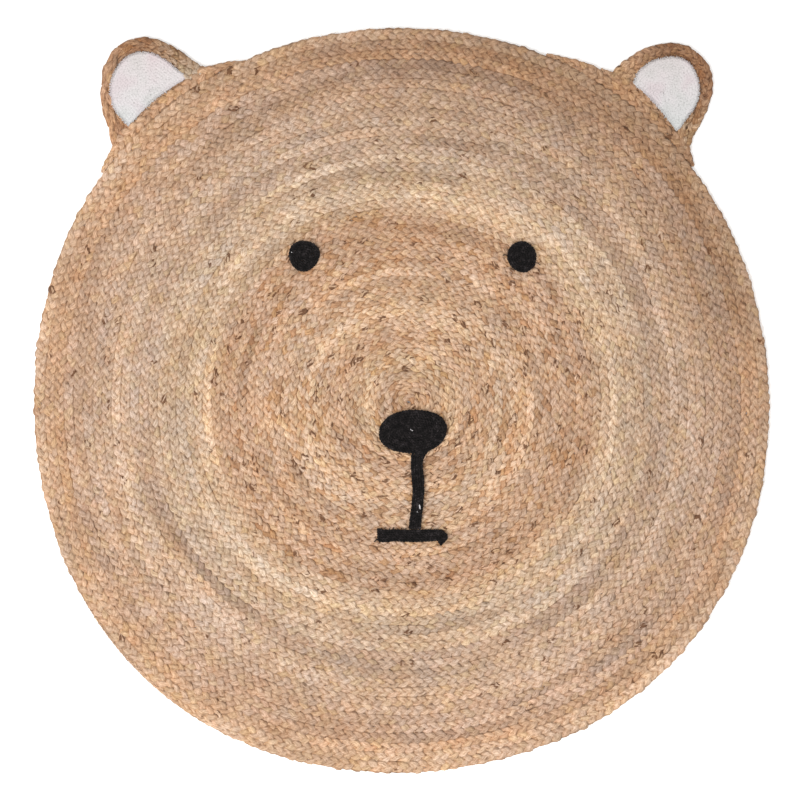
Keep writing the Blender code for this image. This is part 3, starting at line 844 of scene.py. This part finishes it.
def edge_stitches(ear, seed):
    """Short overcast stitches round a pad: each goes out over its edge and down into the braid beside it."""
    spoke, edge = pad_edge(ear)
    outline = ear.centre + edge[:, None] * spoke
    outline = np.vstack((outline, outline[:1]))
    along = distance_along(outline)
    rng = np.random.default_rng(seed)
    stitches = []
    for place in np.linspace(0, along[-1], EDGE_STITCHES, endpoint=False):
        at = read_line([place + rng.normal() * EDGE_STITCH_STRAY], along, outline)[0]
        outward = unit(at - ear.centre)
        beside = np.array((-outward[1], outward[0]))
        reach = np.array((*EDGE_STITCH_REACH, rng.uniform(*EDGE_STITCH_END))) * MM
        xy = at + reach[:, None] * (outward + rng.normal() * EDGE_STITCH_LEAN * beside)
        stitches.append(tube(at_height(xy, EDGE_STITCH_HEIGHT), EDGE_STITCH_RADIUS, EDGE_STITCH_RADIUS, 4))
    return stitches


COTTON_THREAD = (1.8 * MM, 1.8 * MM, 1)
COTTON_SHADES = ((0.3, "#9d9b9a"), (0.46, "#bfbdbd"), (0.7, "#cdcbcb"))


def white_cotton(name):
    """Bleached cotton thread in satin and chain stitch: soft, matt, faintly glossy along each thread, with
    short shadows between threads. It is a little warmer above, and pinker or greener in patches.
    """
    material, tree = new_material(name, 0.7, sheen=0.3)
    place = add_node(tree, "TexCoord").outputs["Object"]
    stitches = mottle(tree, place, COTTON_THREAD, 3.0, 0.65)
    up = add_node(tree, "SeparateXYZ", {0: place}).outputs["Y"]
    worn = mottle(tree, place, (24 * MM,) * 3, 1.0)
    colour = tinted(
        tree,
        set_ramp(add_node(tree, "ValToRGB", {"Fac": stitches}), COTTON_SHADES),
        Tint("#fff6f5", up, 300 * MM, 372 * MM),
        Tint("#fcf6f8", worn, 0.50, 0.68),
        Tint("#f5f8f6", worn, 0.50, 0.32),
    )
    finish_fibre(material, colour, stitches, 0.5, 0.3 * MM)
    return material


cotton = white_cotton("white_stitched_cotton")
for side, ear in (("left", LEFT_EAR), ("right", RIGHT_EAR)):
    surface, area = pad_tube(ear)
    piece = add_piece(side + "_inner_ear", [surface], cotton, "white_cotton", side + "_ear_pad")
    sewn = add_piece(side + "_ear_edge_stitches", edge_stitches(ear, 350), cotton, "white_cotton")

# ---- The face ----
# Eyes, nose and mouth are soft black cotton yarn of two plies. It is coiled into discs or laid to and fro in
# rows, and sewn down on the crests of the braid.

FACE_BASE = 8.3 * MM
YARN_PITCH = 2.75 * MM  # from row to row
EDGE_INSET = 0.7 * MM  # of the outermost yarn's middle from the piece's edge
YARN_TWIST = 6.5 * MM  # along the yarn for one turn of its plies
TWIST_SECTIONS = 7
PLY_RADIUS = 1.08 * MM
PLY_LAY = 0.7 * MM  # from the yarn's middle to each ply's
PLY_SIDES = 5
YARN_SINK = 0.35 * MM  # how far it is pulled down into the braid
YARN_MIDDLE = FACE_BASE + PLY_RADIUS + PLY_LAY - YARN_SINK
TWIST_STRAY = Stray(0.5, 15 * MM)
LAY_STRAY = Stray(0.15 * MM, 6 * MM)
PLY_STRAY = Stray(0.12, 4 * MM)
TONE_STRAY = Stray(1.0, 5 * MM)
# A disc of coiled yarn. Its outline swells by so much, so many times round, one crest at the angle given
Disc = namedtuple("Disc", "name x y half_width half_height tilt swell crests crest_at")
DISCS = (
    Disc("left_eye", -102.9 * MM, 155.9 * MM, 16.0 * MM, 15.8 * MM, 0.0, 0.7 * MM, 3, math.radians(20)),
    Disc("right_eye", 131.0 * MM, 154.6 * MM, 15.3 * MM, 15.8 * MM, 0.0, 0.5 * MM, 2, math.radians(125)),
    Disc("nose", 14.0 * MM, -32.7 * MM, 36.4 * MM, 23.0 * MM, math.radians(4), 0.4 * MM, 4, math.radians(35)),
)
EDGE_TURNS = 0.8  # how long a coil follows the disc's edge
HUB_TURNS = 1.2  # how much longer it is than a turn for each pitch
HUB = 0.4 * YARN_PITCH  # its end stays this far from the disc's middle
COIL_STEPS = 1500
# The bars, by the ends of sections across their rows, in millimetres from the rug's middle
BarSection = namedtuple("BarSection", "first_x first_y second_x second_y")
BARS = {
    "nose_bar": (
        BarSection(12.0, -53.0, 33.5, -50.5),
        BarSection(11.9, -60.4, 26.0, -60.6),
        BarSection(11.8, -67.4, 24.3, -68.8),
        BarSection(12.7, -84.6, 25.7, -82.8),
        BarSection(13.8, -95.2, 25.8, -95.2),
        BarSection(13.0, -106.0, 25.2, -106.0),
        BarSection(11.6, -119.9, 24.0, -118.8),
        BarSection(9.9, -129.5, 22.8, -128.5),
        BarSection(9.2, -137.5, 22.1, -137.5),
    ),
    "mouth_bar": (
        BarSection(-24.3, -149.4, -24.1, -135.9),
        BarSection(-19.9, -151.6, -18.3, -137.6),
        BarSection(-5.4, -150.5, -5.4, -138.1),
        BarSection(16.1, -151.4, 16.1, -138.1),
        BarSection(33.3, -150.5, 34.4, -137.9),
        BarSection(40.3, -150.3, 44.6, -138.7),
        BarSection(41.7, -152.7, 50.1, -142.4),
        BarSection(43.9, -155.3, 50.0, -148.9),
    ),
}
BAR_ROWS = 5
BAR_STEPS = 200


def yarn(path, seed):
    """Two plies twisted round each other along a path: path + lay (cos(t) beside + sin(t) upright)."""
    along = distance_along(path)
    place = np.arange(0, along[-1], YARN_TWIST / TWIST_SECTIONS)
    middle = read_line(place, along, path)
    beside = unit(np.cross(UPRIGHT, np.gradient(middle, axis=0)))
    turn = 2 * math.pi * place / YARN_TWIST + wander(place, TWIST_STRAY, seed)
    plies = []
    for k in range(2):
        t = (turn + math.pi * k)[:, None]
        slip = wander(place, LAY_STRAY, seed + 1 + k)[:, None]
        radius = PLY_RADIUS * (1 + wander(place, PLY_STRAY, seed + 3 + k))
        ply = middle + PLY_LAY * (np.cos(t) * beside + np.sin(t) * UPRIGHT) + slip * beside
        plies.append(tube(ply, radius, radius, PLY_SIDES, tone=wander(place, TONE_STRAY, seed + 5 + k)))
    return plies


def coiled(disc):
    """A coil from a disc's edge inwards. Its first turn follows the edge, and the others close in by a pitch.

    x = (half width - inset + swell) cos(a), y = (half height - inset + swell) sin(a), turned by the tilt.
    """
    turns = np.linspace(0, (disc.half_height - EDGE_INSET) / YARN_PITCH + HUB_TURNS, COIL_STEPS)
    a = 2 * math.pi * turns
    inset = EDGE_INSET + YARN_PITCH * np.maximum(turns - EDGE_TURNS, 0)
    inset = np.minimum(inset, disc.half_height - HUB)
    swell = disc.swell * (1 - inset / disc.half_height) * np.cos(disc.crests * (a - disc.crest_at))
    x = (disc.half_width - inset + swell) * np.cos(a)
    y = (disc.half_height - inset + swell) * np.sin(a)
    cos, sin = math.cos(disc.tilt), math.sin(disc.tilt)
    turned = np.column_stack((x, y)) @ ((cos, sin), (-sin, cos))
    return at_height(np.array((disc.x, disc.y)) + RUG_SHIFT + turned, YARN_MIDDLE)


def bar_rows(bar):
    """The middle lines of a bar's rows of yarn, side by side between the two ends of each section."""
    first_x, first_y, second_x, second_y = smooth_rows(bar, BAR_STEPS) * MM
    first = np.column_stack((first_x, first_y)) + RUG_SHIFT
    second = np.column_stack((second_x, second_y)) + RUG_SHIFT
    across = (np.arange(BAR_ROWS) + 0.5) / BAR_ROWS
    return [at_height(first + share * (second - first), YARN_MIDDLE) for share in across]


YARN_SHADES = ((0.12, "#060404"), (0.22, "#0f0c0c"), (0.32, "#1c1818"), (0.42, "#353031"))


def black_yarn(name):
    """Dyed cotton yarn, softly spun: matt black with a little brown in it, and a faint pale bloom."""
    material, tree = new_material(name, 0.8, sheen=0.04, specular=0.12)
    place = add_node(tree, "TexCoord").outputs["Object"]
    fine = mottle(tree, place, (1.6 * MM,) * 3)
    broad = mottle(tree, place, (5.0 * MM,) * 3)
    both = add_node(tree, "Math", {0: fine, 1: broad}, operation="MULTIPLY").outputs[0]
    colour = set_ramp(add_node(tree, "ValToRGB", {"Fac": both}), YARN_SHADES)
    finish_fibre(material, colour, fine, 0.6, 0.3 * MM)
    return material


black = black_yarn("black_two_ply_cotton")
face = []
for k, disc in enumerate(DISCS):
    plies = yarn(coiled(disc), 400 + 20 * k)
    face.append(add_piece(disc.name + "_yarn", plies, black, "black_yarn", disc.name))
for k, (node, bar) in enumerate(BARS.items()):
    rows = []
    for row, line in enumerate(bar_rows(bar)):
        rows += yarn(line, 500 + 100 * k + 20 * row)
    face.append(add_piece(node + "_yarn", rows, black, "black_yarn", node))
eyes, nose_and_mouth = face[:2], face[2:]

# The thread that holds them down shows in places: whip stitches over the mouth bar's upper edge, and a few
# loose ends. A stitch is its two ends, in millimetres from the rug's middle, how far it bows, and its radius.
Stitch = namedtuple("Stitch", "first_x first_y last_x last_y bow radius")
BLACK_ENDS = (
    Stitch(110.4, 156.6, 117.8, 155.8, 0.5, 0.55),
    Stitch(146.0, 148.5, 150.5, 145.8, 0.5, 0.4),
    Stitch(43.0, -147.0, 47.5, -148.6, 0.6, 0.5),
    Stitch(-25.5, -148.5, -27.6, -151.0, 0.4, 0.6),
)
WHITE_ENDS = (
    Stitch(10.8, -30.0, 12.2, -32.2, 0.4, 0.35),
    Stitch(12.2, -32.2, 14.2, -30.4, -0.4, 0.35),
    Stitch(20.6, -110.8, 21.4, -116.4, 0.3, 0.8),
    Stitch(18.2, -118.2, 18.6, -119.6, 0.1, 0.4),
    Stitch(-116.6, 159.8, -115.8, 159.0, 0.1, 0.4),
)
STITCH_POINTS = 7
STITCH_LOW = 7.7 * MM
STITCH_HIGH = 9.2 * MM
END_HIGH = 11.4 * MM  # of a white end, which lies on the black yarn
WHIP_STEP = 4.4 * MM
WHIP_SHARE = 0.45  # of the bar's edge that has them
# How far they start inside the edge and end outside it, and how far that strays, in millimetres
WHIP_INSIDE = 0.6
WHIP_OUTSIDE = (1.4, 2.4)
WHIP_STRAY = 0.3
WHIP_BOW = 0.3
WHIP_RADIUS = 0.45


def stitch_tube(stitch, low, high, sides):
    """A stitch: it comes up at one end, bows to its side along its way and goes down at the other."""
    part = np.linspace(0, 1, STITCH_POINTS)
    first = np.array((stitch.first_x, stitch.first_y)) * MM + RUG_SHIFT
    last = np.array((stitch.last_x, stitch.last_y)) * MM + RUG_SHIFT
    step = last - first
    side = np.array((-step[1], step[0])) / np.linalg.norm(step) * stitch.bow * MM
    arch = np.sin(np.pi * part)
    path = at_height(first + part[:, None] * step + arch[:, None] * side, low + (high - low) * arch**0.5)
    return tube(path, stitch.radius * MM, stitch.radius * MM, sides)


def whip_stitches(bar):
    """Short stitches square to a bar's upper edge, from just inside it to the braid beside it."""
    first_x, first_y, second_x, second_y = smooth_rows(bar, BAR_STEPS)
    along = distance_along(np.column_stack((second_x, second_y)) * MM)
    rng = np.random.default_rng(600)
    stitches = []
    for place in np.arange(WHIP_STEP, WHIP_SHARE * along[-1], WHIP_STEP):
        at = np.array([np.interp(place, along, line) for line in (second_x, second_y, first_x, first_y)])
        outward = unit(at[:2] - at[2:])
        start = at[:2] - WHIP_INSIDE * outward
        end = at[:2] + rng.uniform(*WHIP_OUTSIDE) * outward + rng.normal(size=2) * WHIP_STRAY
        stitches.append(Stitch(*start, *end, WHIP_BOW, WHIP_RADIUS))
    return stitches


black_stitches = [*whip_stitches(BARS["mouth_bar"]), *BLACK_ENDS]
black_tubes = [stitch_tube(stitch, STITCH_LOW, STITCH_HIGH, 4) for stitch in black_stitches]
white_tubes = [stitch_tube(stitch, FACE_BASE, END_HIGH, 5) for stitch in WHITE_ENDS]
for name, tubes, material, slot in (
    ("face_stitches", black_tubes, black, "black_yarn"),
    ("sewing_thread_ends", white_tubes, cotton, "white_cotton"),
):
    nose_and_mouth.append(add_piece(name, tubes, material, slot))

# Single fibres work loose from the strands, more of them at the rim. They stand a little above the braid.
# Each kind starts from this share of a strand's sections on, and has its greatest length and its range of
# heights in millimetres.
Fuzz = namedtuple("Fuzz", "count start longest lowest highest")
ALL_OVER = Fuzz(900, 0.0, 20, 8.0, 9.2)
ALONG_RIM = Fuzz(240, 0.955, 14, 5.5, 8.0)
SHORTEST_FIBRE = 5
LOOSE_RADIUS = 0.13 * MM
LOOSE_POINTS = 8
LOOSE_TURN = 0.9  # how far its heading strays and how much it curls, in radians
# A loose fibre gets none of the painted crease or groove shade, and no bark or rust
LOOSE_LOOK = {"chance": 0.0, "tone": 2.0, "top": 0.0, "across": 0.0, "reach": 0.55}  # pale and clean


def loose_fibre(root, heading, length, curl, high):
    """A fibre that leaves its root, arches over the braid and bends as it goes: a curve of even curl."""
    part = np.linspace(0, 1, LOOSE_POINTS)
    step = length / (LOOSE_POINTS - 1) * spokes(heading + curl * part)
    xy = root[:2] + np.cumsum(step, 0) - step[0]
    return at_height(xy, root[2] + (high - root[2]) * np.sin(np.pi * part**0.8) ** 0.8)


def loose_fibres(strands, seed):
    """Loose fibres that start in the strands' lobes, and in the last row ones that mostly point outwards."""
    rng = np.random.default_rng(seed)
    fibres = []
    for kind in [ALL_OVER] * ALL_OVER.count + [ALONG_RIM] * ALONG_RIM.count:
        strand = strands[rng.integers(3)]
        sections = len(strand.points)
        root = strand.points[rng.integers(int(sections * kind.start), sections)].mean(0)
        outward = np.arctan2(*(root[:2] - RUG_SHIFT)[::-1])
        heading = outward + rng.normal() * LOOSE_TURN if kind is ALONG_RIM else rng.uniform(-np.pi, np.pi)
        length = rng.uniform(SHORTEST_FIBRE, kind.longest) * MM
        high = rng.uniform(kind.lowest, kind.highest) * MM
        path = loose_fibre(root, heading, length, rng.normal() * LOOSE_TURN, high)
        own = {"hue": rng.normal(), "place": rng.uniform(0, 20), **LOOSE_LOOK}
        fibres.append(tube(path, LOOSE_RADIUS, LOOSE_RADIUS, 3, **own))
    return fibres


fuzz = add_piece("loose_jute_fibres", loose_fibres(head_strands, 700), head_jute, "head_jute")

# ---- The studio ----
# A pale floor that glows a little, as a lit white sheet does, and soft light from all round, a little
# stronger from the lower left. The camera looks straight down on the middle of the rug.

FLOOR_WIDTH = 12.0
FLOOR_GLOW = 0.15
WHITE = linear("#ffffff")
bpy.ops.mesh.primitive_plane_add(size=FLOOR_WIDTH)
floor = bpy.context.object
floor.name = "floor"
floor_material, floor_tree = new_material("pale_studio_floor", 0.9)
floor_shader = floor_tree.nodes["Principled BSDF"]
floor_shader.inputs["Base Color"].default_value = linear("#fbfbfa")
floor_shader.inputs["Emission Color"].default_value = WHITE
floor_shader.inputs["Emission Strength"].default_value = FLOOR_GLOW
floor.data.materials.append(floor_material)

WORLD_STRENGTH = 0.835
world = bpy.data.worlds.new("soft_studio")
bpy.context.scene.world = world
world.use_nodes = True
world.node_tree.nodes["Background"].inputs["Color"].default_value = WHITE
world.node_tree.nodes["Background"].inputs["Strength"].default_value = WORLD_STRENGTH

Lamp = namedtuple("Lamp", "name place size power")
LAMPS = (
    Lamp("key", (-1.1, -0.95, 2.1), 2.0, 57),
    Lamp("fill", (1.5, 0.9, 2.2), 1.8, 9),
)
for lamp in LAMPS:
    light = bpy.data.lights.new(lamp.name, "AREA")
    light.size = lamp.size
    light.energy = lamp.power
    holder = bpy.data.objects.new(lamp.name, light)
    holder.location = lamp.place
    holder.rotation_euler = (-Vector(lamp.place)).to_track_quat("-Z", "Y").to_euler()
    bpy.context.scene.collection.objects.link(holder)

CAMERA_PLACE = (-1.57 * MM, 0.54 * MM, 3.0)
VIEW_WIDTH = 0.860  # of what the camera sees at the height of the braid's middle
camera_data = bpy.data.cameras.new("camera")
camera_data.sensor_width = 36.0
camera_data.lens = camera_data.sensor_width * (CAMERA_PLACE[2] - BRAID_MIDDLE) / VIEW_WIDTH
camera = bpy.data.objects.new("camera", camera_data)
camera.location = CAMERA_PLACE
bpy.context.scene.collection.objects.link(camera)
bpy.context.scene.camera = camera
bpy.context.scene.view_settings.view_transform = "Standard"
